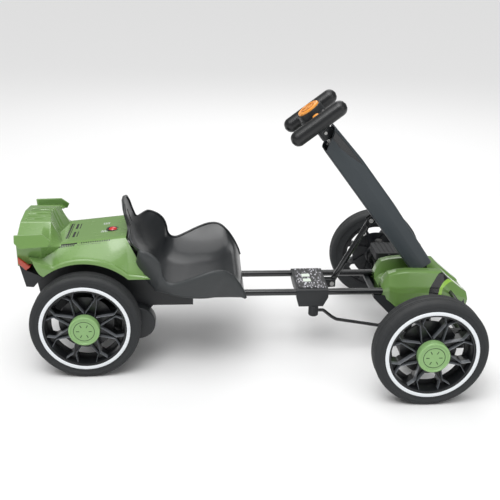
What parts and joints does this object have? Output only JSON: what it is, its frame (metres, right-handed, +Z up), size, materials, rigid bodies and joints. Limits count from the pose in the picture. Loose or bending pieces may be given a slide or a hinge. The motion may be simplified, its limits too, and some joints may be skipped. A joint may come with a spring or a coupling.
{
  "type": "pedal go kart",
  "caption": "Child's ride-on pedal kart: foam-tyred wheels, twin-tube frame, bucket seat on a sliding rear carriage, cranked front axle and raked steering column.",
  "frame": {"origin": "on the ground under the middle of the whole kart", "axes": "+X forwards, +Y to the driver's left, +Z up"},
  "size_m": [1.0586, 0.6572, 0.6261],
  "materials": {
    "tyre_foam": "matt black foam rubber with a fine tread",
    "wheel_grey": "satin dark grey moulded plastic",
    "ring_white": "white reflective ring",
    "cap_green": "satin pale green moulded plastic",
    "body_green": "satin moss green moulded plastic",
    "column_slate": "satin blue-grey moulded plastic",
    "trim_black": "satin black moulded plastic",
    "gloss_black": "glossy black moulded plastic",
    "frame_black": "gloss black painted steel tube",
    "axle_steel": "plain machined steel",
    "orange_plastic": "bright orange moulded plastic",
    "lens_red": "red-orange moulded lens",
    "button_red": "glossy red moulded plastic",
    "pedal_black": "matt black ribbed rubber-plastic",
    "console_print": "matt printed plate, blocky grey pattern",
    "seat_black": "semi-gloss black moulded bucket"
  },
  "bodies": {
    "frame": {"rail_left": "frame_black", "rail_right": "frame_black", "console_shell": "trim_black", "console_plate": "console_print", "stay_socket": "trim_black", "lower_stay": "frame_black", "front_chassis": "trim_black", "front_shell": "body_green", "front_beam": "frame_black", "kingpins": "axle_steel", "bearing_bushes": "trim_black", "column_brackets": "frame_black", "column_tube": "frame_black", "column_cover_left": "column_slate", "column_cover_right": "column_slate", "column_panels": "gloss_black", "column_strut": "frame_black", "strut_bolts": "axle_steel"},
    "pitman": {"pitman_post": "axle_steel"},
    "tie_rod": {"tie_rod": "axle_steel"},
    "knuckle_left": {"knuckle_left": "frame_black"},
    "knuckle_right": {"knuckle_right": "frame_black"},
    "crank": {"cranked_axle": "frame_black"},
    "pedal_left": {"pedal_left": "pedal_black"},
    "pedal_right": {"pedal_right": "pedal_black"},
    "steering": {"steering_shaft": "axle_steel", "steering_hub": "trim_black", "steering_yoke": "trim_black", "neck_screws": "axle_steel"},
    "horn": {"horn_button": "orange_plastic"},
    "side_button_left": {"side_button_left": "orange_plastic"},
    "side_button_right": {"side_button_right": "orange_plastic"},
    "carriage": {"rear_chassis": "trim_black", "rail_sleeves": "frame_black", "rear_axle": "axle_steel", "gear_case": "trim_black", "rear_body": "body_green", "spoiler": "body_green", "tail_lamps": "lens_red", "rear_bumper": "trim_black", "seat_shell": "seat_black"},
    "deck_button": {"deck_button": "button_red"},
    "front_wheel_left": {"front_stub_axle_left": "axle_steel", "front_tyre_left": "tyre_foam", "front_rim_left": "wheel_grey", "front_reflector_ring_left": "ring_white", "front_hub_cap_left": "cap_green"},
    "rear_wheel_left": {"rear_tyre_left": "tyre_foam", "rear_rim_left": "wheel_grey", "rear_reflector_ring_left": "ring_white", "rear_hub_cap_left": "cap_green"},
    "front_wheel_right": {"front_stub_axle_right": "axle_steel", "front_tyre_right": "tyre_foam", "front_rim_right": "wheel_grey", "front_reflector_ring_right": "ring_white", "front_hub_cap_right": "cap_green"},
    "rear_wheel_right": {"rear_tyre_right": "tyre_foam", "rear_rim_right": "wheel_grey", "rear_reflector_ring_right": "ring_white", "rear_hub_cap_right": "cap_green"}
  },
  "joints": [
    {"name": "carriage_slide", "type": "slide", "parent": "frame", "child": "carriage", "axis": [-1, 0, 0], "range_m": [0, 0.08]},
    {"name": "rear_left_spin", "type": "hinge", "parent": "carriage", "child": "rear_wheel_left", "pos_m": [-0.38425, 0.1424, 0.125], "axis": [0, 1, 0], "continuous": true},
    {"name": "rear_right_spin", "type": "hinge", "parent": "carriage", "child": "rear_wheel_right", "pos_m": [-0.38425, -0.1424, 0.125], "axis": [0, 1, 0], "continuous": true},
    {"name": "steer", "type": "hinge", "parent": "frame", "child": "steering", "pos_m": [0.41495, 0, 0.2105], "axis": [-0.6046, 0, 0.7965], "range_deg": [-36, 36]},
    {"name": "pitman_turn", "type": "hinge", "parent": "frame", "child": "pitman", "pos_m": [0.42325, 0, 0.16], "axis": [0, 0, 1], "range_deg": [-36, 36]},
    {"name": "tie_rod_slide", "type": "slide", "parent": "frame", "child": "tie_rod", "axis": [0, 1, 0], "range_m": [-0.0296, 0.0296]},
    {"name": "knuckle_left_turn", "type": "hinge", "parent": "frame", "child": "knuckle_left", "pos_m": [0.37075, 0.24, 0.125], "axis": [0, 0, 1], "range_deg": [-15.7, 15.7]},
    {"name": "knuckle_right_turn", "type": "hinge", "parent": "frame", "child": "knuckle_right", "pos_m": [0.37075, -0.24, 0.125], "axis": [0, 0, 1], "range_deg": [-15.7, 15.7]},
    {"name": "crank_spin", "type": "hinge", "parent": "frame", "child": "crank", "pos_m": [0.37075, 0, 0.125], "axis": [0, 1, 0], "continuous": true},
    {"name": "front_left_spin", "type": "hinge", "parent": "knuckle_left", "child": "front_wheel_left", "pos_m": [0.37075, 0.2916, 0.125], "axis": [0, 1, 0], "continuous": true},
    {"name": "front_right_spin", "type": "hinge", "parent": "knuckle_right", "child": "front_wheel_right", "pos_m": [0.37075, -0.2916, 0.125], "axis": [0, 1, 0], "continuous": true},
    {"name": "pedal_left_turn", "type": "hinge", "parent": "crank", "child": "pedal_left", "pos_m": [0.37075, 0.156, 0.18], "axis": [0, 1, 0], "continuous": true},
    {"name": "pedal_right_turn", "type": "hinge", "parent": "crank", "child": "pedal_right", "pos_m": [0.37075, -0.156, 0.07], "axis": [0, 1, 0], "continuous": true},
    {"name": "deck_button_press", "type": "slide", "parent": "carriage", "child": "deck_button", "axis": [0, 0, -1], "range_m": [0, 0.003], "stiffness_N_per_m": 400, "springref_m": -0.001},
    {"name": "horn_press", "type": "slide", "parent": "steering", "child": "horn", "axis": [0.6046, 0, -0.7965], "range_m": [0, 0.003], "stiffness_N_per_m": 500, "springref_m": -0.001},
    {"name": "side_left_press", "type": "slide", "parent": "steering", "child": "side_button_left", "axis": [0.6046, 0, -0.7965], "range_m": [0, 0.003], "stiffness_N_per_m": 300, "springref_m": -0.001},
    {"name": "side_right_press", "type": "slide", "parent": "steering", "child": "side_button_right", "axis": [0.6046, 0, -0.7965], "range_m": [0, 0.003], "stiffness_N_per_m": 300, "springref_m": -0.001}
  ],
  "couplings": [
    {"joint": "pitman_turn", "follows": "steer", "ratio": 1},
    {"joint": "tie_rod_slide", "follows": "steer", "m_per_rad": 0.0468},
    {"joint": "knuckle_left_turn", "follows": "steer", "ratio": 0.4326},
    {"joint": "knuckle_right_turn", "follows": "steer", "ratio": 0.4326},
    {"joint": "front_left_spin", "follows": "crank_spin", "ratio": 1},
    {"joint": "front_right_spin", "follows": "crank_spin", "ratio": 1},
    {"joint": "pedal_left_turn", "follows": "crank_spin", "ratio": -1},
    {"joint": "pedal_right_turn", "follows": "crank_spin", "ratio": -1}
  ]
}
